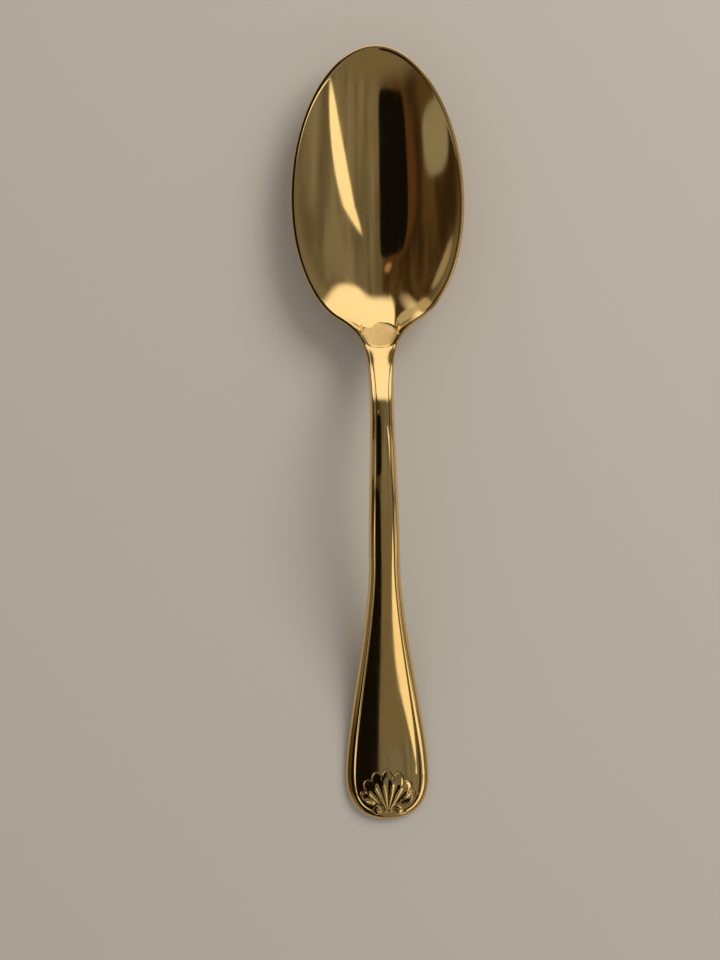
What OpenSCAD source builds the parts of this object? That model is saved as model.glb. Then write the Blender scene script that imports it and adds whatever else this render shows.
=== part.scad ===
// Teaspoon with a threaded edge and a shell at the end of the handle.
// It lies on a table with its hollow up: the bowl points to +Y and the handle to -Y.
// X = 0 is its mirror plane, and the origin is on the table below the middle of its length.
// The real spoon is one forging, so each module is one named region of it, and the
// regions meet face to face.

/* [Overall] */
// Length from the tip of the bowl to the end of the handle
spoon_length = 138; // [130:1:150]

/* [Bowl] */
// Length of the bowl, from its tip to the start of the neck
bowl_length = 53; // [50:0.5:56]
// Width of the bowl at its widest place
bowl_width = 30.6; // [27:0.1:34]
// Distance from the tip to the widest place
bowl_reach = 27.3; // [25:0.1:29]
// Height of the rim above the table at the widest place
rim_height = 7.3; // [6:0.1:9]
// Extra height of the rim at the tip
tip_rise = 0.2; // [0:0.1:1]
// Extra height of the rim at the heel
heel_rise = 1.4; // [0.8:0.1:2.2]
// Thickness of the floor of the bowl
floor_thickness = 1.2; // [0.9:0.05:1.6]
// Height of the edge of the rim
rim_thickness = 1.0; // [0.8:0.05:1.3]
// Width of the flat land that runs along the rim
rim_land = 0.55; // [0.45:0.05:0.8]
// Size of the rounded corners of the rim
rim_round = 0.3; // [0.15:0.05:0.35]
// Length of the lens-shaped flat at the heel
heel_flat = 4.2; // [2.5:0.1:4.8]
// Slope of that flat, down towards the hollow
flat_slope = 0.26; // [0:0.02:0.4]
// Thickness of the metal where the bowl meets the neck
heel_thickness = 3.1; // [2.6:0.1:3.6]

/* [Neck and stem] */
// Width where the bowl meets the neck
neck_width = 5.9; // [5.2:0.1:6.8]
// Width between the points where the bowl's outline turns hollow
shoulder_width = 15.1; // [13.5:0.1:16.5]
// Distance of those points in front of the neck
shoulder_reach = 4.75; // [4:0.05:5.5]
// Width of the stem at its narrowest place
stem_width = 4.15; // [3.6:0.05:4.8]
// Distance of the narrowest place behind the start of the neck
stem_reach = 10; // [8:0.5:13]
// Height of the top of the arch above the table
arch_height = 15.4; // [13:0.1:18]
// Place of the top of the arch, as a share of the length behind the bowl
arch_share = 0.235; // [0.18:0.005:0.3]
// Thickness of the stem at the top of the arch
arch_thickness = 3.0; // [2.5:0.1:3.5]

/* [Handle] */
// Width of the handle at its broadest place
handle_width = 14.9; // [13:0.1:17]
// Length of the rounded end, behind the broadest place
end_reach = 8.1; // [7.5:0.1:9.5]
// Width where the handle starts to flare
flare_width = 5.4; // [5:0.1:6.2]
// Length over which it flares, as a share of the length behind the bowl
flare_share = 0.458; // [0.4:0.002:0.5]
// Thickness of the handle at its very end
end_thickness = 2.0; // [1.7:0.05:2.5]
// Length of the flat underside that the handle rests on
rest_length = 9; // [6:0.5:12]

/* [Threads] */
// Width of a thread where the bowl meets the neck
thread_neck_width = 0.65; // [0.5:0.05:0.9]
// Width of a thread at the narrowest place of the stem
thread_stem_width = 1.0; // [0.7:0.05:1.1]
// Width of a thread at the broad end of the handle
thread_end_width = 1.75; // [1.5:0.05:2.2]
// Width of a thread at the end of the handle
thread_tip_width = 1.4; // [1.3:0.05:1.7]
// Height of a thread above its groove at the broad end
thread_height = 0.25; // [0.15:0.05:0.5]

/* [Shell] */
// Number of flutes in the shell
flute_count = 7; // [5:2:9]
// Length of the middle flute, from the root of the shell
shell_radius = 7.8; // [7:0.1:8.2]
// Distance between the side flutes and the threads
shell_gap = 0.35; // [0.2:0.05:0.8]
// Distance of the shell's root from the end of the handle
shell_setback = 1.5; // [1.3:0.05:1.9]
// Height of the shell above the handle
shell_height = 0.75; // [0.55:0.05:1]
// Depth of a flute below its ridges
flute_depth = 0.35; // [0.2:0.05:0.45]
// Angle over which the flutes fan out
shell_angle = 130; // [120:1:140]

/* [Scrolls] */
// Radius of a scroll
scroll_radius = 0.85; // [0.7:0.05:0.95]
// Distance between the centres of the two scrolls
scroll_spacing = 3.74; // [3.5:0.02:4]
// Distance of the scrolls' centres from the end of the handle
scroll_setback = 1.87; // [1.8:0.01:2.1]
// Height of a scroll above the handle
scroll_height = 0.6; // [0.45:0.05:0.8]

/* [Hidden] */

// Places along the length
tip_y = spoon_length / 2;
end_y = -spoon_length / 2;
widest_y = tip_y - bowl_reach;
neck_y = tip_y - bowl_length;
handle_length = spoon_length - bowl_length;
arch_reach = arch_share * handle_length;
flare_reach = flare_share * handle_length;
shoulder_y = neck_y + shoulder_reach;
hollow_y = neck_y + heel_flat;
stem_y = neck_y - stem_reach;
arch_y = neck_y - arch_reach;
broad_y = end_y + end_reach;
flare_y = broad_y + flare_reach;
rest_y = end_y + rest_length;
root_y = end_y + shell_setback;

// The panel is level under the shell, and that level seat reaches this far past it
seat_margin = 0.8;
seat_y = root_y + shell_radius + seat_margin;

// Heights of the heel above and below, and slope of the seat
heel_z = rim_height + heel_rise;
heel_under_z = heel_z - heel_thickness;
seat_slope = 0.03;

// The neck rises straight from the heel, and bends over to the arch along this share of its
// length
bend_share = 0.62;

// Half widths of the outline
bowl_half = bowl_width / 2;
shoulder_half = shoulder_width / 2;
neck_half = neck_width / 2;
stem_half = stem_width / 2;
flare_half = flare_width / 2;
handle_half = handle_width / 2;

// Directions of the outline at the shoulders and where the neck starts
shoulder_angle = 32.5;
neck_angle = 22.5;
shoulder_dir = [cos(shoulder_angle), sin(shoulder_angle)];
neck_dir = [sin(neck_angle), cos(neck_angle)];

// How far each curve of the outline holds its end directions, as shares of its reach
tip_shares = [0.525, 0.55];
side_shares = [0.536, 0.577];
shoulder_shares = [0.405, 0.541];
neck_shares = [0.156, 0.449];
stem_shares = [0.31, 0.29];
flare_shares = [0.288, 0.207];
end_shares = [0.777, 0.538];

// How much steeper the dish gets towards its rim, how late the ray's own edge takes over
// from the plain egg of the middle, above and below, and how far the hollow's egg ends
// before the neck
dish_steepness = 0.12;
hollow_edge_power = 7;
outer_edge_power = 4;
egg_margin = 1.25;

// Angles from the spoon's axis within which the heel is at its thickest and its flat at its
// lowest, and within which both fade
heel_angle = 6.8;
heel_fade = 19;

// Length of the blend from the rim's corner to the thread
blend_reach = 5;

// Shapes across the handle: crown of the panel, share of a thread that rises from the
// groove, and shares of the thickness that its rounded edges take above and below
crown_share = 0.11;
crown_fade = 7;
rise_share = 0.25;
edge_top_share = 0.42;
edge_under_share = 0.33;

// Shapes of the shell and the scrolls
side_angle = 60;
scallop_share = 0.12;
flute_power = 3;
root_radius = 1;
root_shares = [0.6, 0.9];
shell_edge_share = 0.6;
shell_root_share = 0.55;
scroll_gap = 0.1;
scroll_turns = 1.5;
scroll_groove_share = 0.28;
scroll_edge_share = 0.55;

// Cells of the meshes
tip_cells = 18;
side_cells = 13;
shoulder_cells = 7;
hollow_cells = 11;
neck_cells = 9;
stem_cells = 13;
flare_cells = 17;
end_cells = 18;
panel_cells = 5;
rise_cells = 3;
edge_cells = 5;
flute_cells = 8;
shell_cells = 9;
scroll_cells = 6;
scroll_sides = 24;

// Point of a cubic curve with control points c, and the direction of the curve there
function curve_point(c, t) = pow(1 - t, 3) * c[0] + 3 * pow(1 - t, 2) * t * c[1]
    + 3 * (1 - t) * t * t * c[2] + pow(t, 3) * c[3];
function curve_slope(c, t) = pow(1 - t, 2) * (c[1] - c[0]) + 2 * (1 - t) * t * (c[2] - c[1])
    + t * t * (c[3] - c[2]);
function unit(v) = v / norm(v);
// Smooth step from 0 to 1, and a cubic from height z0 to z1 that starts and ends with given rises
function smooth(t) = let (u = min(1, max(0, t))) u * u * (3 - 2 * u);
function blend(z0, rise0, z1, rise1, t) = z0 * (2 * pow(t, 3) - 3 * t * t + 1)
    + rise0 * (pow(t, 3) - 2 * t * t + t) + z1 * (3 * t * t - 2 * pow(t, 3))
    + rise1 * (pow(t, 3) - t * t);

// The right half of the outline, from the tip of the bowl to the end of the handle
tip_curve = [[0, tip_y], [tip_shares[0] * bowl_half, tip_y],
             [bowl_half, widest_y + tip_shares[1] * bowl_reach], [bowl_half, widest_y]];
shoulder = [shoulder_half, shoulder_y];
side_curve = [[bowl_half, widest_y],
              [bowl_half, widest_y - side_shares[0] * (widest_y - shoulder_y)],
              shoulder + side_shares[1] * (bowl_half - shoulder_half) * shoulder_dir, shoulder];
neck_start = [neck_half, neck_y];
shoulder_curve = [shoulder, shoulder - shoulder_shares[0] * shoulder_reach * shoulder_dir,
                  neck_start + shoulder_shares[1] * shoulder_reach * neck_dir, neck_start];
neck_curve = [neck_start, neck_start - neck_shares[0] * stem_reach * neck_dir,
              [stem_half, stem_y + neck_shares[1] * stem_reach], [stem_half, stem_y]];
stem_curve = [[stem_half, stem_y], [stem_half, stem_y - stem_shares[0] * (stem_y - flare_y)],
              [flare_half, flare_y + stem_shares[1] * (stem_y - flare_y)], [flare_half, flare_y]];
flare_curve = [[flare_half, flare_y], [flare_half, flare_y - flare_shares[0] * flare_reach],
               [handle_half, broad_y + flare_shares[1] * flare_reach], [handle_half, broad_y]];
end_curve = [[handle_half, broad_y], [handle_half, broad_y - end_shares[0] * end_reach],
             [end_shares[1] * handle_half, end_y], [0, end_y]];

// Heights of the rim, and of the middle line of the neck and handle above and below
function rim_z(y) = rim_height + (y > widest_y
    ? tip_rise * pow((y - widest_y) / bowl_reach, 2)
    : heel_rise * smooth((widest_y - y) / (widest_y - neck_y)));
function neck_drop(t) = (t < bend_share
    ? bend_share * (pow(t / bend_share, 3) - pow(t / bend_share, 4) / 2)
    : t - bend_share / 2) / (1 - bend_share / 2);
function neck_z(heel, arch, y) = arch - (arch - heel) * neck_drop((y - arch_y) / arch_reach);
function seat_z(y) = end_thickness + seat_slope * (y - end_y);
function top_z(y) = y > arch_y
    ? neck_z(heel_z, arch_height, y)
    : y > seat_y
    ? blend(arch_height, 0, seat_z(seat_y), -seat_slope * (arch_y - seat_y),
            (arch_y - y) / (arch_y - seat_y))
    : seat_z(y);
function under_z(y) = y > arch_y
    ? neck_z(heel_under_z, arch_height - arch_thickness, y)
    : y > rest_y
    ? blend(arch_height - arch_thickness, 0, 0, 0, (arch_y - y) / (arch_y - rest_y))
    : 0;

// A closed solid between two heights over one plan. The plan is rows of points that run
// towards -Y, each from -X to +X. A ring plan runs outwards from its middle, and its rows
// close on themselves, counter-clockwise from above. The last row of a folded plan doubles
// back on itself, so no wall stands on it.
module slab(plan, top, under, ring = false, folded = false) {
    rows = len(plan);
    cols = len(plan[0]);
    last = rows - 1;
    count = rows * cols;
    points = [for (z = [top, under]) for (i = [0:last]) for (j = [0:cols - 1])
              [plan[i][j][0], plan[i][j][1], z[i][j]]];
    steps = ring ? cols - 1 : cols - 2;
    function at(i, j) = i * cols + j % cols;
    covers = [for (i = [0:last - 1]) for (j = [0:steps])
              let (a = at(i, j), b = at(i, j + 1), c = at(i + 1, j), d = at(i + 1, j + 1))
              each [[a, b, d], [a, d, c], [a + count, d + count, b + count],
                    [a + count, c + count, d + count]]];
    // Walls stand on the edges that bound the plan, each seen from outside
    row_edges = [for (j = [0:steps]) each concat(
                 ring ? [] : [[at(0, j + 1), at(0, j)]],
                 folded ? [] : [[at(last, j), at(last, j + 1)]])];
    side_edges = ring ? [] : [for (i = [0:last - 1]) each [[at(i, 0), at(i + 1, 0)],
                              [at(i + 1, cols - 1), at(i, cols - 1)]]];
    walls = [for (e = concat(row_edges, side_edges))
             each [[e[0], e[1], e[1] + count], [e[0], e[1] + count, e[0] + count]]];
    faces = [for (f = concat(covers, walls)) if (points[f[0]] != points[f[1]]
             && points[f[1]] != points[f[2]] && points[f[2]] != points[f[0]]) f];
    polyhedron(points, faces);
}

// Outline of the bowl as [x, y, inward direction, edge]. The edge is 1 on the outline and 0
// on the flat face where the neck starts.
function inward(c, t) = let (s = unit(curve_slope(c, t))) [s[1], -s[0]];
function outline_part(c, cells) = [for (i = [0:cells - 1])
    let (t = i / cells, p = curve_point(c, t)) [p[0], p[1], inward(c, t), 1]];
bowl_right = concat(outline_part(tip_curve, tip_cells), outline_part(side_curve, side_cells),
                    outline_part(shoulder_curve, shoulder_cells),
                    [[neck_half, neck_y, inward(shoulder_curve, 1), 1],
                     [neck_half - rim_round, neck_y, [0, 1], 0],
                     [neck_half - thread_neck_width, neck_y, [0, 1], 0]]);
bowl_left = [for (i = [len(bowl_right) - 1:-1:1])
    let (p = bowl_right[i]) [-p[0], p[1], [-p[2][0], p[2][1]], p[3]]];
bowl_clockwise = concat(bowl_right, [[0, neck_y, [0, 1], 0]], bowl_left);
bowl_rim = [for (i = [len(bowl_clockwise) - 1:-1:0]) bowl_clockwise[i]];

// Each ray from the middle of the bowl crosses the hollow, the land and the rounded corner.
// These are the shares of the ray where the hollow ends and where the corner starts.
middle = [0, widest_y];
function ray(p) = [p[0], p[1]] - middle;
function inset(p, width) = width / (norm(ray(p)) * max(0.35, -unit(ray(p)) * p[2]));
function corner_share(p) = p[3] == 0 ? 1 : 1 - inset(p, rim_round);
function hollow_share(p) = min(p[3] == 0 ? 1 : 1 - inset(p, rim_land),
    p[1] < hollow_y ? (widest_y - hollow_y) / (widest_y - p[1]) : 1);
// How far a ray has turned from the heel, from 0 to 1
function turned(p) = smooth((atan2(abs(ray(p)[0]), -ray(p)[1]) - heel_angle) / heel_fade);
// Heights of the edge of the underside and of the hollow
function outer_edge_z(p) = heel_under_z + (rim_z(p[1]) - rim_thickness - heel_under_z) * turned(p);
function hollow_edge_z(p) = let (y = widest_y + ray(p)[1] * hollow_share(p))
    rim_z(p[1]) - flat_slope * max(0, min(y, hollow_y) - neck_y) * (1 - turned(p));
// Squared distance from the middle, which is 1 on an egg that ends at front, back and half
function egg(q, half, front, back) = let (d = q[1] - widest_y, lean = (front - back) / (front + back))
    pow(q[0] / half, 2) + pow(d / (front * (1 - lean) + lean * d), 2);
function deepen(e) = e * (1 - dish_steepness + dish_steepness * e);
function dish(e, share, power, middle_rise, edge_rise) = let (m = pow(share, power))
    (1 - m) * middle_rise * deepen(e) + m * edge_rise * deepen(share * share);
function outer_z(p, share) = dish(egg(middle + ray(p) * share, bowl_half, bowl_reach, widest_y - neck_y),
    share, outer_edge_power, outer_edge_z(p), outer_edge_z(p));
function hollow_z(p, share) = floor_thickness
    + dish(egg(middle + ray(p) * hollow_share(p) * share, bowl_half - rim_land, bowl_reach - rim_land,
               widest_y - neck_y - egg_margin),
           share, hollow_edge_power, rim_z(p[1]) - floor_thickness, hollow_edge_z(p) - floor_thickness);

// Bowl: an egg-shaped dish with a flat land along its rim and a lens-shaped flat at the heel
module bowl() {
    hollow_rows = [for (i = [0:hollow_cells]) i / hollow_cells];
    plan = concat([for (s = hollow_rows) [for (p = bowl_rim) middle + ray(p) * hollow_share(p) * s]],
                  [[for (p = bowl_rim) middle + ray(p) * corner_share(p)]],
                  [[for (p = bowl_rim) [p[0], p[1]]]]);
    top = concat([for (s = hollow_rows) [for (p = bowl_rim) hollow_z(p, s)]],
                 [[for (p = bowl_rim) rim_z(p[1])]],
                 [[for (p = bowl_rim) rim_z(p[1]) - rim_round * p[3]]]);
    under = concat([for (s = hollow_rows) [for (p = bowl_rim) outer_z(p, hollow_share(p) * s)]],
                   [[for (p = bowl_rim) outer_z(p, corner_share(p))]],
                   [[for (p = bowl_rim) outer_z(p, 1) + rim_round * p[3]]]);
    color([0.86, 0.66, 0.32]) slab(plan, top, under, ring = true);
}

// Stations along one edge of the neck and handle, as [outline point, inward direction].
// The thread is measured straight across up to the broadest place, and square to the
// outline round the end.
function straight_part(c, cells) = [for (i = [0:cells - 1]) [curve_point(c, i / cells), [-1, 0]]];
function round_part(c, cells) = [for (i = [0:cells]) [curve_point(c, i / cells), inward(c, i / cells)]];
stations = concat(straight_part(neck_curve, neck_cells), straight_part(stem_curve, stem_cells),
                  straight_part(flare_curve, flare_cells), round_part(end_curve, end_cells));

// Width of the thread at a station: it widens with the handle and narrows round the end
function station_width(s) = s[0][1] > stem_y
    ? thread_neck_width + (thread_stem_width - thread_neck_width) * smooth((neck_y - s[0][1]) / stem_reach)
    : s[0][1] > broad_y
    ? thread_stem_width + (thread_end_width - thread_stem_width)
        * (s[0][0] - stem_half) / (handle_half - stem_half)
    : thread_end_width + (thread_tip_width - thread_end_width) * smooth((broad_y - s[0][1]) / end_reach);
function groove(s) = s[0] + station_width(s) * s[1];
// The middle of the round end is the point that its rows fan out from
function spine(s) = [0, max(s[0][1], broad_y)];
function crown(s) = crown_share * groove(s)[0] * smooth((neck_y - s[0][1]) / blend_reach)
    * smooth((s[0][1] - seat_y) / crown_fade);

function crown_shape(u) = (u * u + pow(u, 6)) / 2;

// Panel between the threads, from one station to another
module panel(first, last) {
    shares = [for (j = [-panel_cells:panel_cells]) j / panel_cells];
    plan = [for (i = [first:last]) let (s = stations[i], g = groove(s), m = spine(s))
            [for (u = shares) [u * g[0], m[1] + (g[1] - m[1]) * abs(u)]]];
    top = [for (i = [first:last]) [for (j = [0:len(shares) - 1])
           top_z(plan[i - first][j][1]) - crown(stations[i]) * crown_shape(abs(shares[j]))]];
    under = [for (row = plan) [for (p = row) under_z(p[1])]];
    slab(plan, top, under, folded = last == len(stations) - 1);
}

module neck() {
    color([0.84, 0.63, 0.3]) panel(0, neck_cells);
}

module stem() {
    color([0.82, 0.61, 0.28]) panel(neck_cells, neck_cells + stem_cells);
}

module handle() {
    color([0.84, 0.63, 0.3]) panel(neck_cells + stem_cells, len(stations) - 1);
}

// The thread sinks into the level seat before it reaches the scroll
scroll_x = scroll_spacing / 2;
scroll_y = end_y + scroll_setback;
thread_fade = 1.1;
function past_scroll(s) = s[0][1] > broad_y ? 1
    : smooth((s[0][0] - scroll_x - scroll_radius) / thread_fade);
// Round the end the rounded edge narrows, so that the scroll stands on the level seat
function edge_width(s) = let (full = (1 - rise_share) * station_width(s))
    rim_round + (min(full, full + (scroll_setback - scroll_radius - scroll_gap - full)
    * (1 - past_scroll(s))) - rim_round) * smooth((neck_y - s[0][1]) / blend_reach);
function edge_drop(s, share) = rim_round + (share * (top_z(s[0][1]) - under_z(s[0][1]))
    - rim_round) * smooth((neck_y - s[0][1]) / blend_reach);

// Thread: a raised border that rises from the groove and rounds over the edge of the handle
module thread() {
    rise_steps = [for (j = [0:rise_cells]) j / rise_cells];
    edge_steps = [for (j = [1:edge_cells]) 90 * j / edge_cells];
    // Distance from the groove to each column, with the edge's columns closer at the outside
    function columns(s) = let (w = station_width(s), e = edge_width(s))
        concat([for (u = rise_steps) u * (w - e)], [for (a = edge_steps) w - e + e * sin(a)]);
    plan = [for (s = stations) [for (d = columns(s)) groove(s) - d * s[1]]];
    bead = [for (s = stations) thread_height * station_width(s) / thread_end_width
            * smooth((neck_y - s[0][1]) / blend_reach) * past_scroll(s)];
    top = [for (i = [0:len(stations) - 1]) let (s = stations[i], row = plan[i])
           [for (j = [0:len(row) - 1]) top_z(row[j][1]) - crown(s) + (j <= rise_cells
            ? bead[i] * (1 - pow(1 - rise_steps[j], 2))
            : bead[i] - (bead[i] + edge_drop(s, edge_top_share))
            * (1 - cos(edge_steps[j - rise_cells - 1])))]];
    under = [for (i = [0:len(stations) - 1]) let (s = stations[i], row = plan[i])
             [for (j = [0:len(row) - 1]) under_z(row[j][1]) + (j <= rise_cells ? 0
              : edge_drop(s, edge_under_share) * (1 - cos(edge_steps[j - rise_cells - 1])))]];
    slab(plan, top, under);
}

module right_thread() {
    color([0.93, 0.75, 0.4]) thread();
}

module left_thread() {
    color([0.93, 0.75, 0.4]) mirror([1, 0, 0]) thread();
}

// Distance from the root of the shell to the groove, at an angle from the middle flute
function cross2(a, b) = a[0] * b[1] - a[1] * b[0];
function groove_reach(angle) = let (d = [sin(angle), cos(angle)], root = [0, root_y])
    max([for (i = [0:len(stations) - 2])
         let (a = groove(stations[i]) - root, b = groove(stations[i + 1]) - root - a,
              turn = cross2(d, b), along = turn == 0 ? -1 : cross2(d, a) / -turn)
         if (along >= 0 && along <= 1) norm(a + along * b)]);

// Shell: hollow flutes between thin ridges, fanned out from a root near the end
module shell() {
    flute_angle = shell_angle / flute_count;
    columns = flute_count * flute_cells;
    angles = [for (j = [0:columns]) shell_angle * (j / columns - 0.5)];
    across = [for (j = [0:columns]) 2 * (j % flute_cells) / flute_cells - 1];
    scroll_far = norm([scroll_x, scroll_y - root_y]) + scroll_radius + scroll_gap;
    function start_radius(a) = root_radius + (scroll_far - root_radius)
        * smooth((abs(a) / side_angle - root_shares[0]) / (root_shares[1] - root_shares[0]));
    side_radius = groove_reach(side_angle) - shell_gap;
    function end_radius(a, u) = (shell_radius + (side_radius - shell_radius)
        * pow(a / side_angle, 2)) * (1 - scallop_share * pow(abs(u), flute_power));
    steps = [for (i = [shell_cells:-1:0]) i / shell_cells];
    function radius(s, j) = start_radius(angles[j])
        + s * (end_radius(angles[j], across[j]) - start_radius(angles[j]));
    plan = [for (s = steps) [for (j = [0:columns])
            [radius(s, j) * sin(angles[j]), root_y + radius(s, j) * cos(angles[j])]]];
    // The shell swells from its root and drops at its scalloped edge
    function swell(s) = s < 0.7 ? shell_root_share + (1 - shell_root_share) * sin(90 * s / 0.7)
        : 1 - (1 - shell_edge_share) * pow((s - 0.7) / 0.3, 2);
    top = [for (i = [0:shell_cells]) [for (j = [0:columns])
           seat_z(plan[i][j][1]) + shell_height * swell(steps[i])
           - flute_depth * (1 - pow(abs(across[j]), flute_power)) * sin(180 * pow(steps[i], 1.3))]];
    under = [for (row = plan) [for (p = row) seat_z(p[1])]];
    color([0.9, 0.72, 0.38]) slab(plan, top, under);
}

// Scroll: a round button with a spiral groove, at the end of each thread
module scroll() {
    steps = [for (i = [0:scroll_cells]) i / scroll_cells];
    turns = [for (j = [0:scroll_sides - 1]) 360 * j / scroll_sides];
    plan = [for (s = steps) [for (a = turns)
            [scroll_x + scroll_radius * s * cos(a), scroll_y + scroll_radius * s * sin(a)]]];
    function groove_z(s, a) = scroll_groove_share * scroll_height * smooth(2 * min(s, 1 - s))
        * (1 + cos(360 * scroll_turns * s - a)) / 2;
    top = [for (i = [0:scroll_cells]) let (s = steps[i]) [for (j = [0:scroll_sides - 1])
           seat_z(plan[i][j][1]) + scroll_height * (1 - (1 - scroll_edge_share) * pow(s, 4))
           - groove_z(s, turns[j])]];
    under = [for (row = plan) [for (p = row) seat_z(p[1])]];
    slab(plan, top, under, ring = true);
}

module right_scroll() {
    color([0.95, 0.78, 0.44]) scroll();
}

module left_scroll() {
    color([0.95, 0.78, 0.44]) mirror([1, 0, 0]) scroll();
}

bowl();
neck();
stem();
handle();
left_thread();
right_thread();
shell();
left_scroll();
right_scroll();
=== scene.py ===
import math

import bmesh
import bpy
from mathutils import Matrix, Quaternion, Vector


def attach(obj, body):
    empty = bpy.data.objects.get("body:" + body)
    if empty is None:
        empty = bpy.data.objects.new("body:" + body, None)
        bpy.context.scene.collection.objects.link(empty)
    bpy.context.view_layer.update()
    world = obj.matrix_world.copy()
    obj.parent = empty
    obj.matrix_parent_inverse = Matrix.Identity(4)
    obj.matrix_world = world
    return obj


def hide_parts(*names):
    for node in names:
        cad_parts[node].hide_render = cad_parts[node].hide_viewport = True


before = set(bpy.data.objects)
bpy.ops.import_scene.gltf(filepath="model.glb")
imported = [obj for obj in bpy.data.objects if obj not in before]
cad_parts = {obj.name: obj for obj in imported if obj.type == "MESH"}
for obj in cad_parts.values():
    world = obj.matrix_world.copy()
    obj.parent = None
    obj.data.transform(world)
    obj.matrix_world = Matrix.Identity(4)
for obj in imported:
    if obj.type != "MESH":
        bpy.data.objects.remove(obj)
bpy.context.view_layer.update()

# Lengths below are in millimetres, in the same frame as the solids
mm = 0.001

# Places along the spoon, from the tip of the bowl to the end of the handle, half widths
# there, and heights of the arch
spoon = dict(tip=69, widest=41.7, shoulder=20.75, neck=16, stem=6, arch=-4, flare=-22,
             broad=-60.9, end=-69, rest=-60, bowlHalf=15.3, shoulderHalf=7.55, neckHalf=2.95,
             stemHalf=2.075, flareHalf=2.7, broadHalf=7.45, archTop=15.4, archUnder=12.4,
             bend=0.62)
tip, widest, neck, end = spoon["tip"], spoon["widest"], spoon["neck"], spoon["end"]
bowlEdge = (spoon["bowlHalf"], widest)
shoulderEdge = (spoon["shoulderHalf"], spoon["shoulder"])
neckEdge = (spoon["neckHalf"], neck)
stemEdge = (spoon["stemHalf"], spoon["stem"])
flareEdge = (spoon["flareHalf"], spoon["flare"])
broadEdge = (spoon["broadHalf"], spoon["broad"])

# Half of the outline as cubic curves, seen from above
tipCurve = [(0, tip), (8.03, tip), (bowlEdge[0], 56.715), bowlEdge]
sideCurve = [bowlEdge, (bowlEdge[0], 30.47), (11.32, 23.15), shoulderEdge]
shoulderCurve = [shoulderEdge, (5.93, 19.72), (3.93, 18.37), neckEdge]
neckCurve = [neckEdge, (2.35, 14.56), (stemEdge[0], 10.49), stemEdge]
stemCurve = [stemEdge, (stemEdge[0], -2.68), (flareEdge[0], -13.88), flareEdge]
flareCurve = [flareEdge, (flareEdge[0], -33.2), (broadEdge[0], -52.85), broadEdge]
endCurve = [broadEdge, (broadEdge[0], -67.19), (4.01, end), (0, end)]


def curvePoint(c, t):
    k = ((1 - t) ** 3, 3 * (1 - t) ** 2 * t, 3 * (1 - t) * t * t, t ** 3)
    return tuple(sum(k[n] * c[n][a] for n in range(4)) for a in (0, 1))


def curveInward(c, t):
    k = ((1 - t) ** 2, 2 * (1 - t) * t, t * t)
    dx, dy = (sum(k[n] * (c[n + 1][a] - c[n][a]) for n in range(3)) for a in (0, 1))
    size = math.hypot(dx, dy)
    return dy / size, -dx / size


def clamp(t):
    return min(1.0, max(0.0, t))


def smooth(t):
    t = clamp(t)
    return t * t * (3 - 2 * t)


def smoother(t):
    t = clamp(t)
    return t ** 3 * (t * (6 * t - 15) + 10)


def mix(a, b, t):
    return a + (b - a) * t


def blend(z0, rise0, z1, rise1, t):
    return (z0 * (2 * t ** 3 - 3 * t * t + 1) + rise0 * (t ** 3 - 2 * t * t + t)
            + z1 * (3 * t * t - 2 * t ** 3) + rise1 * (t ** 3 - t * t))


def neckDrop(t):
    # Share of the neck's height lost from the arch forward: bent at first, then straight
    bend = spoon["bend"]
    t = max(0, t)
    u = t / bend
    return (bend * (u ** 3 - u ** 4 / 2) if u < 1 else t - bend / 2) / (1 - bend / 2)


def gridPiece(bm, cols, rows, place):
    # A grid whose points are moved to place(column, row), which gives x, y, z and matte
    matte = bm.verts.layers.float["matte"]
    for v in bmesh.ops.create_grid(bm, x_segments=cols, y_segments=rows, size=1)["verts"]:
        i, j = round((v.co.x + 1) / 2 * cols), round((v.co.y + 1) / 2 * rows)
        x, y, z, dull = place(i, j)
        v.co = Vector((x, y, z)) * mm
        v[matte] = dull


def newMesh():
    bm = bmesh.new()
    bm.verts.layers.float.new("matte")
    return bm


mergeGap = 0.0004 * mm
sharpAngle = 1.2


def closeEnds(bm):
    bmesh.ops.holes_fill(bm, edges=[e for e in bm.edges if e.is_boundary], sides=0)


def finishPiece(bm, name, nodes):
    bmesh.ops.remove_doubles(bm, verts=bm.verts, dist=mergeGap)
    bmesh.ops.dissolve_degenerate(bm, edges=bm.edges, dist=mergeGap)
    bmesh.ops.recalc_face_normals(bm, faces=bm.faces)
    for f in bm.faces:
        f.smooth = True
    for e in bm.edges:                                  # steep corners stay sharp
        e.smooth = e.calc_face_angle(0) < sharpAngle
    mesh = bpy.data.meshes.new(name)
    bm.to_mesh(mesh)
    bm.free()
    piece = bpy.data.objects.new(name, mesh)
    bpy.context.scene.collection.objects.link(piece)
    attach(piece, "root")
    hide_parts(*nodes)
    mesh.materials.append(gold)
    print(name, len(mesh.polygons), "faces")


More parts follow.
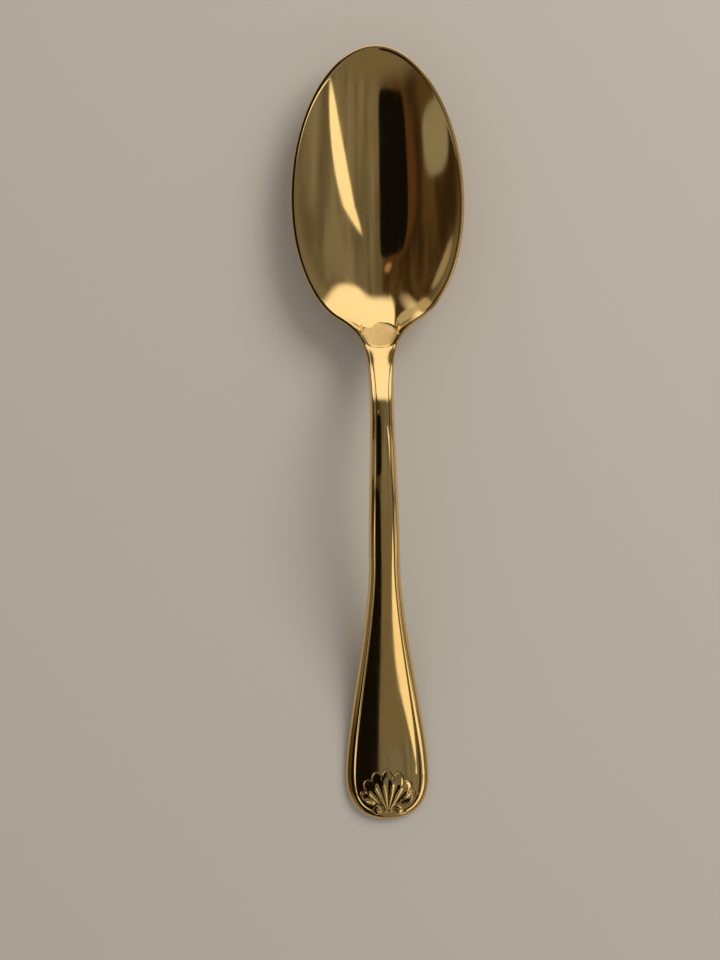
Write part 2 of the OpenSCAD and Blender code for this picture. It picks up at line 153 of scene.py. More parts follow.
# Material: polished gold plate with fine wear, and brushed where the matte mark is 1
def goldMaterial():
    look = dict(colour=(0.86, 0.60, 0.25, 1), deep=(0.78, 0.52, 0.19, 1), polish=0.06, haze=0.03,
                hairlines=0.05, brushed=0.42, ground=0.55, cut=0.00001, cutStrength=0.35)
    m = bpy.data.materials.new("goldPlate")
    m.use_nodes = True
    n, l = m.node_tree.nodes, m.node_tree.links
    shader = n["Principled BSDF"]
    place = n.new("ShaderNodeTexCoord")

    def noise(scale, stretch, detail):
        mapping = n.new("ShaderNodeMapping")
        mapping.inputs["Scale"].default_value = stretch
        tex = n.new("ShaderNodeTexNoise")
        tex.inputs["Scale"].default_value = scale
        tex.inputs["Detail"].default_value = detail
        l.new(place.outputs["Object"], mapping.inputs["Vector"])
        l.new(mapping.outputs["Vector"], tex.inputs["Vector"])
        return tex.outputs["Fac"]

    def ramp(value, low, high, toLow, toHigh):
        r = n.new("ShaderNodeMapRange")
        limits = {"From Min": low, "From Max": high, "To Min": toLow, "To Max": toHigh}
        for socket, number in limits.items():
            r.inputs[socket].default_value = number
        l.new(value, r.inputs["Value"])
        return r.outputs["Result"]

    def combine(kind, a, b):
        node = n.new("ShaderNodeMath")
        node.operation = kind
        for slot, value in zip(node.inputs, (a, b)):
            if hasattr(value, "links"):
                l.new(value, slot)
            else:
                slot.default_value = value
        return node.outputs[0]

    cloud = noise(90, (1, 1, 1), 3)         # finger haze, about a centimetre wide
    hair = noise(900, (1, 0.06, 1), 4)      # hairlines along the spoon
    strokes = noise(1800, (1, 0.2, 1), 3)   # grinding strokes on the disc at the heel
    matte = n.new("ShaderNodeAttribute")
    matte.attribute_name = "matte"
    tint = n.new("ShaderNodeMix")
    tint.data_type = "RGBA"
    tint.inputs["A"].default_value = look["colour"]
    tint.inputs["B"].default_value = look["deep"]
    brushed = matte.outputs["Fac"]
    scratched = combine("MULTIPLY", brushed, ramp(strokes, 0.35, 0.65, 0, 0.9))
    l.new(combine("ADD", ramp(cloud, 0.45, 0.75, 0, 0.5), scratched), tint.inputs["Factor"])
    l.new(tint.outputs["Result"], shader.inputs["Base Color"])
    l.new(ramp(brushed, 0, 1, 1, 1 - look["ground"]), shader.inputs["Metallic"])
    wear = combine("ADD", ramp(cloud, 0.4, 0.7, 0, look["haze"]),
                   ramp(hair, 0.5, 0.8, 0, look["hairlines"]))
    strokeWear = ramp(strokes, 0.3, 0.7, look["brushed"] - 0.08, look["brushed"])
    dull = combine("MULTIPLY", brushed, strokeWear)
    l.new(combine("ADD", combine("ADD", wear, dull), look["polish"]), shader.inputs["Roughness"])
    bump = n.new("ShaderNodeBump")
    bump.inputs["Distance"].default_value = look["cut"]
    bump.inputs["Strength"].default_value = look["cutStrength"]
    height = combine("ADD", combine("MULTIPLY", hair, 0.5), combine("MULTIPLY", brushed, strokes))
    l.new(height, bump.inputs["Height"])
    l.new(bump.outputs["Normal"], shader.inputs["Normal"])
    return m


gold = goldMaterial()
print("material made")

# Bowl: egg-shaped dish with a thin land round its rim and a facet at the heel, on which a
# disc is ground and brushed. The hollow and the underside are eggs, each given by its half
# width and by its reach towards the tip and towards the neck
bowl = dict(rim=7.3, tipRise=0.2, heelRise=1.4, floor=1.2, edge=1.0, heelEdge=3.1, land=0.55,
            round=0.3, deepen=0.12, hollowEgg=(14.75, 26.75, 24.45), underEgg=(15, 27, 25.7),
            sink=0.07, sinkStart=0.42, sinkWidth=0.25, sinkEnd=26, riseEnd=24, heelAngle=6.8,
            heelTurn=22)
facet = dict(arc=15.7, arcRise=0.9, arcHalf=3.3, arcSoft=0.02, half=3, tilt=0.42, tiltSoft=0.004,
             sideSlope=0.84, sideSoft=0.2, end=23, rimGap=0.62, rimFade=0.8, discX=3.25,
             discY=2.35, discAt=18, discEdge=0.12, discLean=0.1, ground=0.08, topStep=0.1,
             topStart=18.6, topSlant=0.25, topReach=1.4, brushedGap=0.6, brushedEnd=22,
             brushedShare=0.3, topSide=7.5)
heelTop = 8.7                                           # rim and its rise at the neck

# Shares of a distance across the spoon that lie square to its edge
shoulderSquare, neckSquare = 0.54, 0.92


def rimZ(y):
    if y > widest:
        return bowl["rim"] + bowl["tipRise"] * ((y - widest) / (tip - widest)) ** 2
    return bowl["rim"] + bowl["heelRise"] * smooth((widest - y) / (widest - neck))


def above(d, soft):
    # d where it is above 0 and 0 where it is below, with a rounded bend between
    return 0.5 * (d + math.sqrt(d * d + soft))


def arcY(x):
    # Curved end of the facet, seen from above
    return facet["arc"] + facet["arcRise"] * min(1.4, (x / facet["arcHalf"]) ** 2)


def pastArc(x, y):
    # 0 behind the facet's curved end, and 1 in front of it
    return smooth((y - arcY(x) + 0.1) / 0.2)


def neckRise(x, y):
    # Rise of the neck behind the facet
    d = mix(facet["arc"], arcY(x), smooth((y - 12) / 3.5)) - y
    reach = facet["arc"] - spoon["arch"]
    return (spoon["archTop"] - heelTop) * (1 - neckDrop(1 - above(d, facet["arcSoft"]) / reach))


def risen(x, y, top):
    return top + neckRise(x, y) * (y < bowl["riseEnd"])


def sinkAt(gap):
    # The land stands a little proud of what it frames
    return bowl["sink"] * smooth((gap - bowl["sinkStart"]) / bowl["sinkWidth"])


def bowlSink(gap, y):
    return sinkAt(gap) * smooth((bowl["sinkEnd"] - y) / 4)


def handleSink(gap, y):
    return sinkAt(gap) * smooth((y - 2) / 12)


def discShare(x, y):
    # 1 on the ground disc at the heel, and 0 round it, even on both sides where the handle starts
    x += facet["discLean"] * smooth((y - neck) / 1.5)
    out = math.hypot(x / facet["discX"], (y - facet["discAt"]) / facet["discY"])
    return smooth((1 - out) / facet["discEdge"])


def facetDrop(x, y, gap):
    # The heel slopes down from its curved end to the hollow, and rises to the rim beside it
    if y <= arcY(x):
        return 0
    cut = facet["tilt"] * (min(y, facet["end"]) - arcY(x))
    cut -= facet["sideSlope"] * above(abs(x) - facet["half"], facet["sideSoft"])
    cut = above(cut, facet["tiltSoft"])
    step = smooth((y - facet["topStart"] + facet["topSlant"] * x) / facet["topReach"])
    ground = facet["ground"] + facet["topStep"] * step
    return cut * smooth((gap - facet["rimGap"]) / facet["rimFade"]) + ground * discShare(x, y)


# Thread: a raised border along each edge, from the rim of the bowl to the scroll
thread = dict(rimWidth=0.6, stemWidth=1.0, broadWidth=1.75, endWidth=1.4, height=0.115, fade=1.1,
              over=0.02, flank=0.2, fall=1.4, neckFall=3.4, root=0.12, toe=0.012, buried=0.03)


def threadWidth(half, y):
    if y > spoon["stem"]:
        return mix(thread["rimWidth"], thread["stemWidth"], smooth((neck + 2 - y) / 12))
    if y > spoon["broad"]:
        share = (half - spoon["stemHalf"]) / (spoon["broadHalf"] - spoon["stemHalf"])
        return mix(thread["stemWidth"], thread["broadWidth"], share)
    share = (spoon["broad"] - y) / (spoon["broad"] - end)
    return mix(thread["broadWidth"], thread["endWidth"], smooth(share))


def sizeHalf(x, y):
    # Half width that sets the thread's width on the row through a point of the edge
    return x if y > spoon["broad"] else spoon["broadHalf"]


# Columns of the neck's first row, from the middle to the rounded corner, shared with the bowl
panelCols, landCols, roundCols, wallCols = 18, 3, 6, 2
panelShares = [math.sin(math.pi / 2 * k / panelCols) ** 0.8 for k in range(panelCols + 1)]


def rowPoints(half, y, inward, edgeWidth):
    # Plan points of a row's right half: the panel out to the groove, then the land to the corner
    w = threadWidth(half, y)
    gx, gy = half + w * inward[0], y + w * inward[1]
    my = max(y, spoon["broad"])
    points = [(u * gx, my + (gy - my) * u, u, w) for u in panelShares]
    for k in range(1, landCols + 1):
        d = mix(w, edgeWidth, k / landCols)
        points.append((half + d * inward[0], y + d * inward[1], 1, d))
    return points


neckRow = rowPoints(spoon["neckHalf"], neck, (-1, 0), bowl["round"])


def turned(ix, iy, y):
    # Along the shoulder, the inward direction turns until it points straight across
    turn = smooth((spoon["shoulder"] - y) / (spoon["shoulder"] - neck))
    ix, iy = mix(ix, -1, turn), mix(iy, 0, turn)
    size = math.hypot(ix, iy)
    return ix / size, iy / size


def bowlColumns():
    # Each column has a corner point, its outward direction, and whether it is on the rim
    columns = []
    for curve, cells in ((tipCurve, 60), (sideCurve, 88), (shoulderCurve, 30)):
        for k in range(cells + (curve is shoulderCurve)):
            (x, y), (ix, iy) = curvePoint(curve, k / cells), curveInward(curve, k / cells)
            columns.append((x, y, *turned(ix, iy, y), 1))
    columns += [(x, y, -1, 0, 0) for x, y, *_ in reversed(neckRow[:-1])]
    return columns + [(-x, y, -ix, iy, e) for x, y, ix, iy, e in reversed(columns[1:-1])]


columns = bowlColumns()
shoulderLine = [curvePoint(shoulderCurve, k / 40) for k in range(41)]


def shoulderHalf(y):
    for (a, b), (c, d) in zip(shoulderLine, shoulderLine[1:]):
        if d <= y <= b:
            return mix(a, c, (b - y) / (b - d))
    return shoulderLine[-1][0]


hollowRows, shelfRows, underRows = 56, 24, 40


def rimGap(x, y, plain):
    # Distance from the edge, measured across the spoon near the neck
    if y > spoon["shoulder"]:
        return plain
    share = (spoon["shoulder"] - y) / (spoon["shoulder"] - neck)
    across = (shoulderHalf(y) - abs(x)) * mix(shoulderSquare, neckSquare, share)
    return mix(across, plain, smooth((y - 19.5) / 1.2))


def egg(x, y, half, front, back):
    d = y - widest
    lean = (front - back) / (front + back)
    return (x / half) ** 2 + (d / (front * (1 - lean) + lean * d)) ** 2


def dish(e):
    return e * (1 - bowl["deepen"] + bowl["deepen"] * e)


def hollowZ(x, y, top):
    return bowl["floor"] + (top - bowl["floor"]) * dish(egg(x, y, *bowl["hollowEgg"]))


def shelfZ(x, y, top, plain):
    # Height of the land and the heel between the hollow and the rounded corner
    gap = rimGap(x, y, plain)
    return risen(x, y, top) - facetDrop(x, y, gap) - bowlSink(gap, y)


def columnFrame(column):
    # Rounding, where the rounded corner starts, its ray from the middle of the dish, the
    # ray's length, and how squarely it meets the edge
    x, y, ix, iy, onRim = column
    r = bowl["round"] * onRim
    cx, cy = x + r * ix, y + r * iy
    rx, ry = cx, cy - widest
    reach = math.hypot(rx, ry)
    return r, cx, cy, rx, ry, reach, max(0.35, -(rx * ix + ry * iy) / reach)


def landMeeting(column):
    # Where a column's hollow meets the land, and what it lacks in height there
    r, _, _, rx, ry, reach, facing = columnFrame(column)
    top = rimZ(column[1])
    near = reach - (bowl["land"] - bowl["round"]) / facing
    px, py = rx * near / reach, widest + ry * near / reach
    sunk = bowlSink(rimGap(px, py, (reach - near) * facing + r), py)
    return math.atan2(rx, -ry), near, risen(px, py, top) - sunk - hollowZ(px, py, top)


meetings = [landMeeting(c) for c in columns]


def evenLack(k):
    # The lack, evened out over a few degrees so that the hollow has no folds
    weights = [math.exp(-((meetings[k][0] - m[0]) / math.radians(3.5)) ** 2) for m in meetings]
    return sum(w * m[2] for w, m in zip(weights, meetings)) / sum(weights)


evened = [evenLack(k) for k in range(len(columns))]


def filledZ(k, x, y, top, share):
    return hollowZ(x, y, top) + evened[k] * share ** 6 + (meetings[k][2] - evened[k]) * share ** 20


def hollowEnd(k):
    # The hollow ends sooner where it runs into the facet
    r, _, _, rx, ry, reach, facing = columnFrame(columns[k])
    top, near = rimZ(columns[k][1]), meetings[k][1]
    low, high = (0.6 if ry < 0 else 1) * near, near
    for _ in range(24):                                 # halved until it is found
        mid = (low + high) / 2
        px, py = rx * mid / reach, widest + ry * mid / reach
        if filledZ(k, px, py, top, mid / near) < shelfZ(px, py, top, (reach - mid) * facing + r):
            low = mid
        else:
            high = mid
    return low


ends = [hollowEnd(k) for k in range(len(columns))]


def bowlPoint(i, j):
    k = i % len(columns)
    x, y, ix, iy, _ = columns[k]
    r, cx, cy, rx, ry, reach, facing = columnFrame(columns[k])
    top = rimZ(y)
    if j <= hollowRows + shelfRows:
        near = ends[k]
        if j <= hollowRows:
            s = j / hollowRows
            px, py = rx * s * near / reach, widest + ry * s * near / reach
            return px, py, filledZ(k, px, py, top, s * near / meetings[k][1]), 0
        s = mix(near, reach, (1 - math.cos(math.pi * (j - hollowRows) / shelfRows)) / 2) / reach
        px, py = rx * s, widest + ry * s
        plain = (1 - s) * reach * facing + r
        dull = smooth((rimGap(px, py, plain) - facet["brushedGap"]) / 0.4)
        dull *= smooth((facet["brushedEnd"] - py) / 1.5)
        dull *= pastArc(px, py) * mix(facet["brushedShare"], 1, discShare(px, py))
        return px, py, shelfZ(px, py, top, plain), dull
    j -= hollowRows + shelfRows
    angle = math.degrees(math.atan2(abs(rx), -ry))
    thin = smoother((angle - bowl["heelAngle"]) / bowl["heelTurn"])
    low = mix(rimZ(neck) - bowl["heelEdge"], top - bowl["edge"], thin)
    if j <= roundCols:
        a = math.pi / 2 * j / roundCols
        d = r * math.sin(a)
        return cx - d * ix, cy - d * iy, risen(cx, cy, top) - r * (1 - math.cos(a)), 0
    j -= roundCols
    if j < wallCols:
        return x, y, mix(risen(cx, cy, top) - r, low + r, j / wallCols), 0
    j -= wallCols
    if j <= roundCols:
        a = math.pi / 2 * (1 - j / roundCols)
        d = r * math.sin(a)
        return cx - d * ix, cy - d * iy, low + r * (1 - math.cos(a)), 0
    s = 1 - (j - roundCols) / underRows
    px, py = rx * s, widest + ry * s
    late = s ** 4
    lift = (1 - late) * dish(egg(px, py, *bowl["underEgg"])) + late * dish(s * s)
    return px, py, low * lift, 0


# Handle: neck, stem and panel as one strip of sections, from the bowl to the end
handle = dict(crown=0.115, crownFlat=0.93, crownEnd=0.75, edge=0.66, edgeTop=0.42, edgeUnder=0.33,
              edgeReach=5, seat=-58.9, seatSlope=0.03, endThick=2, under=0.08)


def straightStations(curve, cells):
    return [(curvePoint(curve, k / cells), (-1, 0)) for k in range(cells)]


def stationList(neckCells, stemCells, flareCells, endCells):
    ts = [k / endCells for k in range(endCells + 1)]
    return (straightStations(neckCurve, neckCells) + straightStations(stemCurve, stemCells)
            + straightStations(flareCurve, flareCells)
            + [(curvePoint(endCurve, t), curveInward(endCurve, t)) for t in ts])


stations = stationList(64, 60, 80, 56)


def seatZ(y):
    return handle["endThick"] + handle["seatSlope"] * (y - end)


def topZ(x, y):
    if y > spoon["arch"]:
        return heelTop + neckRise(x, y)
    if y > handle["seat"]:
        reach = spoon["arch"] - handle["seat"]
        return blend(spoon["archTop"], 0, seatZ(handle["seat"]), -handle["seatSlope"] * reach,
                     (spoon["arch"] - y) / reach)
    return seatZ(y)


def underZ(y):
    if y > spoon["arch"]:
        drop = spoon["archUnder"] - (heelTop - bowl["heelEdge"])
        return spoon["archUnder"] - drop * neckDrop((y - spoon["arch"]) / (neck - spoon["arch"]))
    if y > spoon["rest"]:
        return blend(spoon["archUnder"], 0, 0, 0, (spoon["arch"] - y) / (spoon["arch"] - spoon["rest"]))
    return 0


def edgeBlend(y):
    # 0 at the bowl's narrow rounding, and 1 where the threads have grown
    return smooth((neck - y) / handle["edgeReach"])


def edgeWidth(half, y):
    return mix(bowl["round"], handle["edge"] * threadWidth(half, y), edgeBlend(y))


def crownDrop(u, y):
    toEnd = min(1, (spoon["broad"] - min(y, spoon["broad"])) / (spoon["broad"] - end))
    half = stationHalf(y)
    drop = handle["crown"] * (half - threadWidth(half, y)) * edgeBlend(y)
    shape = 0.5 * (u * u + u ** 6)
    flat = handle["crownFlat"]
    if u > flat:                                        # the crown ends in a fillet at the groove
        fall, steep = 0.5 * (flat ** 2 + flat ** 6), (flat + 3 * flat ** 5) * (1 - flat)
        shape = blend(fall, steep, fall + steep * 0.6, 0, (u - flat) / (1 - flat))
    return drop * shape * (1 - handle["crownEnd"] * toEnd)


def stationHalf(y):
    # Half width of the outline at y, kept at the broadest value round the end
    if y <= spoon["broad"]:
        return spoon["broadHalf"]
    for (a, b), (c, d) in ((stations[k][0], stations[k + 1][0]) for k in range(len(stations) - 1)):
        if d <= y <= b:
            return mix(a, c, (b - y) / max(1e-9, b - d))
    return spoon["neckHalf"]


def handleSection(k):
    # The right half of a closed section, from the middle of its top to the middle below
    (x, y), inward = stations[k]
    e = edgeWidth(sizeHalf(x, y), y)
    row = rowPoints(x, y, inward, e)
    points = []
    for px, py, u, _ in row:
        gap = neckSquare * (x - px)
        sunk = handleSink(gap, y) + facetDrop(px, py, gap)
        points.append((px, py, topZ(px, py) - crownDrop(u, y) - sunk))
    cx, cy, cz = points[-1]
    low = underZ(y)
    thick = topZ(0, y) - low
    high = mix(bowl["round"], handle["edgeTop"] * thick, edgeBlend(y))
    deep = mix(bowl["round"], handle["edgeUnder"] * thick, edgeBlend(y))
    # The corner stays below the thread that covers it
    under = handle["under"] * edgeBlend(y) * smooth((y - end) / 0.7)
    for j in range(1, roundCols + 1):
        a = math.pi / 2 * j / roundCols
        d = e * math.sin(a)
        drop = high * (1 - math.cos(a)) + under * math.sin(a)
        points.append((cx - d * inward[0], cy - d * inward[1], cz - drop))
    for j in range(1, wallCols):
        points.append((x, y, mix(cz - high - under, low + deep, j / wallCols)))
    for j in range(roundCols + 1):
        a = math.pi / 2 * (1 - j / roundCols)
        d = e * math.sin(a)
        px, py = cx - d * inward[0], cy - d * inward[1]
        points.append((px, py, underZ(py) + deep * (1 - math.cos(a))))
    return points + [(px, py, underZ(py)) for px, py, *_ in reversed(row[:-1])]


sections = [handleSection(k) for k in range(len(stations))]
sectionCount = 2 * (len(sections[0]) - 1)


def handlePoint(i, j):
    section = sections[j]
    last = len(section) - 1
    i %= sectionCount
    px, py, z = section[i] if i <= last else section[sectionCount - i]
    side = 1 if i <= last else -1
    dull = pastArc(px, py) * discShare(px, py) * (z > facet["topSide"])
    return side * px, py, z, dull


bm = newMesh()
gridPiece(bm, len(columns), hollowRows + shelfRows + 2 * roundCols + wallCols + underRows, bowlPoint)
inside = [f for f in bm.faces if all(abs(v.co.y - neck * mm) < 1e-8 for v in f.verts)]
bmesh.ops.delete(bm, geom=inside, context="FACES")
gridPiece(bm, sectionCount, len(stations) - 1, handlePoint)
finishPiece(bm, "spoonBody", ("bowl", "neck", "stem", "handle"))

# The threads end at the scrolls. Each row has its point on the edge, and its inward direction
scroll = dict(x=1.87, y=-67.13, radius=0.85, height=0.5, turns=1.5, spiral=0.07)
threadStations = [(curvePoint(shoulderCurve, k / 30), curveInward(shoulderCurve, k / 30))
                  for k in range(24, 30)]
threadStations = [((x, y), turned(ix, iy, y)) for (x, y), (ix, iy) in threadStations]
threadStations += stationList(64, 120, 320, 112)


def beadHeight(x, y):
    w = threadWidth(x, y)
    bead = thread["height"] * w / thread["broadWidth"]
    bead = mix(-thread["buried"], bead, smooth((neck + 3.2 - y) / 4.5))
    if y <= spoon["broad"]:
        bead *= smooth((x - scroll["x"] - scroll["radius"]) / thread["fade"])
    return bead


flankCols, beadCols = 7, 20


def threadSection(k):
    (x, y), (ix, iy) = threadStations[k]
    w = threadWidth(sizeHalf(x, y), y)
    bead = beadHeight(x, y)
    high = mix(bowl["round"], handle["edgeTop"] * (topZ(0, y) - underZ(y)), edgeBlend(y))

    def ground(px, py):
        # Height of the body below a point of the thread
        if y > neck:
            return rimZ(y) + neckRise(px, py)
        return topZ(px, py) - crownDrop(1, y)

    def at(d, lift):
        px, py = x + d * ix, y + d * iy
        return px, py, ground(px, py) - handleSink(neckSquare * d, y) + lift

    points = [at(w, -thread["root"])]
    start = w * (1 - thread["flank"])
    toe = thread["toe"]
    for j in range(flankCols + 1):
        u = j / flankCols
        points.append(at(mix(w, start, u), -toe + (bead + toe) * mix(u, smooth(u), 0.7)))
    shown = smooth((neck + 1 - y) / 2) * smooth((y + 68.9) / 1.5)
    outer = start + mix(-thread["buried"], thread["over"], shown)
    # The bead falls early behind its crest in the handle, and stays flat longer at the neck
    fall = mix(thread["neckFall"], thread["fall"], smooth((10 - y) / 10))
    for j in range(1, beadCols + 1):
        t = math.sin(math.pi / 2 * (j / beadCols) ** 1.1)
        d = start - outer * t
        points.append(at(d, bead - (bead + high) * (1 - math.sqrt(max(0, 1 - t ** fall)))))
    deep = -high - thread["buried"]
    return points + [at(thread["root"], deep), at(start, deep)]


threadSections = [threadSection(k) for k in range(len(threadStations))]


def buildThread(name, side, node):
    count = len(threadSections[0])
    bm = newMesh()

    def place(i, j):
        x, y, z = threadSections[j][i % count]
        return side * x, y, z, 0

    gridPiece(bm, count, len(threadSections) - 1, place)
    bmesh.ops.remove_doubles(bm, verts=bm.verts, dist=mergeGap)
    closeEnds(bm)
    finishPiece(bm, name, (node,))


buildThread("leftThread", -1, "left_thread")
buildThread("rightThread", 1, "right_thread")

# Shell: hollow flutes between thin ridges, fanned out from a root near the end
shell = dict(root=-67.5, flutes=7, radius=7.8, gap=0.3, height=0.72, depth=0.05, angle=130, side=60,
             scallop=0.17, start=0.5, lip=0.2, foot=0.6, scrollGap=0.08, bead=0.36, beadX=0.47,
             beadY=-67.3, beadLift=0.05)


def cross(a, b):
    return a[0] * b[1] - a[1] * b[0]


def grooveReach(angle):
    # From the root of the shell to the groove, at an angle from the middle flute
    d = (math.sin(angle), math.cos(angle))
    best = 0
    line = [(x + threadWidth(sizeHalf(x, y), y) * ix,
             y + threadWidth(sizeHalf(x, y), y) * iy - shell["root"])
            for (x, y), (ix, iy) in stations]
    for a, c in zip(line, line[1:]):
        b = (c[0] - a[0], c[1] - a[1])
        turn = cross(d, b)
        along = -cross(d, a) / turn if turn else -1
        if 0 <= along <= 1:
            best = max(best, math.hypot(a[0] + along * b[0], a[1] + along * b[1]))
    return best


fluteCells, shellRows = 16, 40
shellCols = shell["flutes"] * fluteCells
sideRadius = grooveReach(math.radians(shell["side"])) - shell["gap"]
scrollFar = math.hypot(scroll["x"], scroll["y"] - shell["root"]) + scroll["radius"] + shell["scrollGap"]


def shellPoint(i, j):
    angle = shell["angle"] * (i / shellCols - 0.5)
    across = 2 * (i % fluteCells) / fluteCells - 1
    share = abs(angle) / shell["side"]
    start = mix(shell["start"], scrollFar, smooth((share - 0.6) / 0.3))
    far = mix(shell["radius"], sideRadius, share ** 2) * (1 - shell["scallop"] * abs(across) ** 2.2)
    s = clamp((j - 1) / (shellRows - 2))
    out = mix(start, far, s)
    x = out * math.sin(math.radians(angle))
    y = shell["root"] + out * math.cos(math.radians(angle))
    if j in (0, shellRows):
        return x, y, seatZ(y) - shell["foot"], 0
    # Ridges swell from the root and fall to a low lip, with flat hollows between them
    lift = mix(0.5, 1, math.sin(math.pi / 2 * min(1, s / 0.6)))
    lift = mix(shell["height"] * lift, shell["lip"], smooth((s - 0.68) / 0.45) / smooth(0.32 / 0.45))
    depth = shell["depth"] * out * smooth((1.02 - s) / 0.08)
    return x, y, seatZ(y) + lift - depth * (1 - abs(across) ** 2.4), 0


bm = newMesh()
gridPiece(bm, shellCols, shellRows, shellPoint)
closeEnds(bm)
beadZ = seatZ(shell["beadY"]) + shell["beadLift"]
for side in (-1, 1):                                    # two small beads at the root
    bead = bmesh.ops.create_uvsphere(bm, u_segments=28, v_segments=14, radius=shell["bead"] * mm)["verts"]
    bmesh.ops.scale(bm, vec=(1, 1.25, 1), verts=bead)
    spot = Vector((side * shell["beadX"], shell["beadY"], beadZ)) * mm
    bmesh.ops.translate(bm, vec=spot, verts=bead)
finishPiece(bm, "shellFan", ("shell",))


# Scroll: a round button with a spiral groove at the end of each thread
def buildScroll(name, side, node):
    rings, sides = 20, 64
    bm = newMesh()

    def place(i, j):
        a = 2 * math.pi * i / sides
        s = min(1, j / (rings - 1))
        x = scroll["x"] + scroll["radius"] * s * math.cos(a)
        y = scroll["y"] + scroll["radius"] * s * math.sin(a)
        wave = (1 + math.cos(2 * math.pi * scroll["turns"] * s - a)) / 2
        cut = scroll["spiral"] * scroll["height"] * smooth(2.2 * min(s, 1 - s)) * wave
        z = seatZ(y) + scroll["height"] * (1 - 0.5 * s ** 4) - cut
        return side * x, y, seatZ(y) - shell["foot"] if j == rings else z, 0

    gridPiece(bm, sides, rings, place)
    bmesh.ops.remove_doubles(bm, verts=bm.verts, dist=mergeGap)
    closeEnds(bm)
    finishPiece(bm, name, (node,))


buildScroll("leftScroll", -1, "left_scroll")
buildScroll("rightScroll", 1, "right_scroll")


# Stage: pale floor, soft windows on the right and behind the tip, and a dim room
def stageMaterial(name, colour, strength=None):
    m = bpy.data.materials.new(name)
    m.use_nodes = True
    n, l = m.node_tree.nodes, m.node_tree.links
    if strength is None:
        n["Principled BSDF"].inputs["Base Color"].default_value = colour
        n["Principled BSDF"].inputs["Roughness"].default_value = 0.75
    else:
        n.remove(n["Principled BSDF"])
        glow = n.new("ShaderNodeEmission")
        glow.inputs["Color"].default_value = colour
        glow.inputs["Strength"].default_value = strength
        l.new(glow.outputs[0], n["Material Output"].inputs["Surface"])
    return m


def card(name, width, height, place, aim, material, roll=0):
    bm = bmesh.new()
    bmesh.ops.create_grid(bm, x_segments=1, y_segments=1, size=0.5)
    bmesh.ops.scale(bm, vec=(width * mm, height * mm, 1), verts=bm.verts)
    mesh = bpy.data.meshes.new(name)
    bm.to_mesh(mesh)
    bm.free()
    mesh.materials.append(material)
    thing = bpy.data.objects.new(name, mesh)
    thing.location = Vector(place) * mm
    turn = (Vector(aim) - Vector(place)).to_track_quat("-Z", "Y")
    thing.rotation_euler = (turn @ Quaternion((0, 0, 1), math.radians(roll))).to_euler()
    bpy.context.scene.collection.objects.link(thing)
    return thing


card("floor", 40000, 40000, (0, 0, 0), (0, 0, -1), stageMaterial("floorPaint", (0.5, 0.46, 0.4, 1)))


def reflected(thing):
    # Seen only in the metal, so that it hides nothing in other views
    thing.visible_camera = False
    thing.visible_diffuse = False
    thing.visible_shadow = False
    thing.visible_transmission = False


def glow(name, width, height, place, aim, colour, power=6, soft=0.3, roll=0):
    # A card with a rounded outline and a soft edge, from a diamond at power 1 to a square at 9
    paint = stageMaterial(name + "Paint", (*colour, 1), 1)
    n, l = paint.node_tree.nodes, paint.node_tree.links
    way = n.new("ShaderNodeSeparateXYZ")
    l.new(n.new("ShaderNodeTexCoord").outputs["Object"], way.inputs[0])
    sums = n.new("ShaderNodeMath")
    for slot, (axis, side) in enumerate((("X", width), ("Y", height))):
        scaled, size, raised = (n.new("ShaderNodeMath") for _ in range(3))
        scaled.operation, size.operation, raised.operation = "MULTIPLY", "ABSOLUTE", "POWER"
        scaled.inputs[1].default_value = 2 / (side * mm)
        raised.inputs[1].default_value = power
        l.new(way.outputs[axis], scaled.inputs[0])
        l.new(scaled.outputs[0], size.inputs[0])
        l.new(size.outputs[0], raised.inputs[0])
        l.new(raised.outputs[0], sums.inputs[slot])
    edge = n.new("ShaderNodeMapRange")
    edge.interpolation_type = "SMOOTHSTEP"
    edge.inputs["From Min"].default_value = 1
    edge.inputs["From Max"].default_value = 1 - soft
    l.new(sums.outputs[0], edge.inputs["Value"])
    clear, both = n.new("ShaderNodeBsdfTransparent"), n.new("ShaderNodeMixShader")
    l.new(edge.outputs["Result"], both.inputs[0])
    l.new(clear.outputs[0], both.inputs[1])
    l.new(n["Emission"].outputs[0], both.inputs[2])
    l.new(both.outputs[0], n["Material Output"].inputs["Surface"])
    reflected(card(name, width, height, place, aim, paint, roll))


glow("darkCard", 123, 226, (-67, 74, 236), (-67, 74, 0), (0.004, 0.004, 0.003), 9)
glow("warmCard", 200, 300, (-90, 80, 238), (-90, 80, 0), (0.09, 0.045, 0.02), 2, 0.6)
glow("tanCard", 50, 34, (-50, 214, 236), (-50, 214, 0), (0.4, 0.27, 0.18), 2, 0.8)
glow("darkFront", 110, 300, (-62, -182, 120), (-62, -182, 0), (0.005, 0.004, 0.003), 9)
glow("paleFront", 260, 150, (163, -208, 200), (163, -208, 0), (1.15, 1.08, 0.9), 5, 0.5, 40)
glow("paleLeft", 160, 230, (-420, 18, 270), (0, 40, 5), (0.27, 0.28, 0.27), 3, 0.5)
glow("paleFarLeft", 200, 60, (-400, 330, 120), (0, 40, 5), (0.34, 0.32, 0.28), 2, 0.6)
glow("windowBehind", 980, 730, (115, 640, 150), (115, 0, 150), (1.24, 1.2, 1.16), 3, 0.5, 4)
glow("paleBehind", 150, 150, (-350, 580, 100), (0, 0, 10), (0.5, 0.47, 0.4), 3, 0.6)
glow("windowRight", 104, 520, (286, 62, 404), (0, 45, 5), (1.25, 1.2, 1.1), 1.6, 0.3, -54)


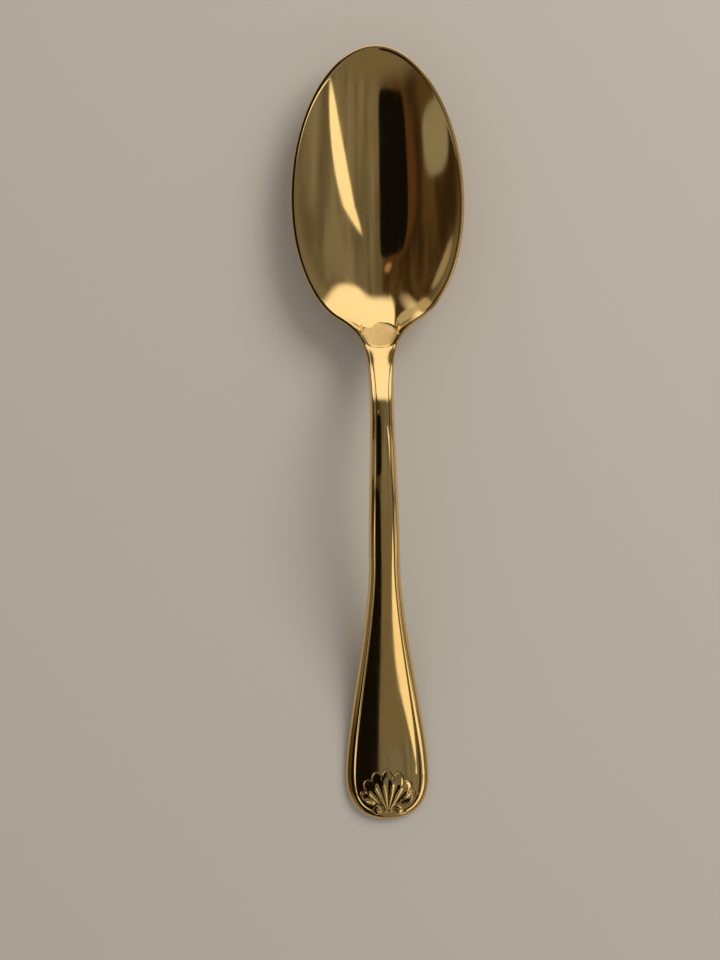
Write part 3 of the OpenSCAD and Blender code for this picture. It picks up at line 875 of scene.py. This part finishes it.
def lamp(name, width, height, place, aim, watts, colour):
    data = bpy.data.lights.new(name, "AREA")
    data.shape = "RECTANGLE"
    data.size, data.size_y = width * mm, height * mm
    data.energy = watts
    data.color = colour
    thing = bpy.data.objects.new(name, data)
    thing.location = Vector(place) * mm
    thing.rotation_euler = (Vector(aim) - Vector(place)).to_track_quat("-Z", "Y").to_euler()
    bpy.context.scene.collection.objects.link(thing)
    return thing


key = lamp("softKey", 500, 400, (420, 350, 520), (0, 0, 0), 3.6, (1, 0.97, 0.93))
key.visible_glossy = False

world = bpy.data.worlds.new("room")
bpy.context.scene.world = world
world.use_nodes = True
n, l = world.node_tree.nodes, world.node_tree.links
back = n["Background"]
ray = n.new("ShaderNodeLightPath")
way = n.new("ShaderNodeSeparateXYZ")
l.new(n.new("ShaderNodeTexCoord").outputs["Generated"], way.inputs[0])


def stageMix(factor, a, b, name):
    node = n.new("ShaderNodeMix")
    node.data_type = "RGBA"
    node.name = name
    for socket, value in (("Factor", factor), ("A", a), ("B", b)):
        if isinstance(value, tuple):
            node.inputs[socket].default_value = value
        else:
            l.new(value, node.inputs[socket])
    return node.outputs["Result"]


def stageRamp(value, low, high):
    node = n.new("ShaderNodeMapRange")
    node.interpolation_type = "SMOOTHSTEP"
    node.inputs["From Min"].default_value = low
    node.inputs["From Max"].default_value = high
    l.new(value, node.inputs["Value"])
    return node.outputs["Result"]


# In the metal, the room is dim on the left, grey on the right and pale near the floor,
# with faint streaks as from curtains
stretch, streaks = n.new("ShaderNodeMapping"), n.new("ShaderNodeTexNoise")
stretch.inputs["Scale"].default_value = (1, 0.14, 0.3)
streaks.inputs["Scale"].default_value = 7
streaks.inputs["Detail"].default_value = 3
l.new(n["Texture Coordinate"].outputs["Generated"], stretch.inputs["Vector"])
l.new(stretch.outputs["Vector"], streaks.inputs["Vector"])
fold = stageRamp(streaks.outputs["Fac"], 0.35, 0.65)
left = stageMix(fold, (0.035, 0.021, 0.01, 1), (0.085, 0.058, 0.03, 1), "left")
right = stageMix(fold, (0.125, 0.12, 0.1, 1), (0.225, 0.22, 0.2, 1), "right")
sides = stageMix(stageRamp(way.outputs["X"], -0.12, 0.02), left, right, "sides")
sides = stageMix(stageRamp(way.outputs["Y"], -0.34, -0.5), sides, (0.18, 0.165, 0.13, 1), "front")
room = stageMix(stageRamp(way.outputs["Z"], 0.05, 0.25), (0.22, 0.2, 0.17, 1), sides, "room")
shade = stageMix(ray.outputs["Is Glossy Ray"], (0.5, 0.49, 0.47, 1), room, "shade")
seen = stageMix(ray.outputs["Is Camera Ray"], shade, (0.6, 0.57, 0.53, 1), "seen")
l.new(seen, back.inputs["Color"])

# Camera: straight above, where the photograph was taken
lens = bpy.data.cameras.new("camera")
lens.sensor_fit = "HORIZONTAL"
lens.sensor_width = 36
lens.lens = 64.6
lens.clip_start = 0.01
camera = bpy.data.objects.new("camera", lens)
camera.location = (-0.004, -0.0076, 0.235)
camera.rotation_euler = (0, 0, math.radians(-1.03))
bpy.context.scene.collection.objects.link(camera)
bpy.context.scene.camera = camera
bpy.context.scene.view_settings.view_transform = "Standard"
print("stage made")
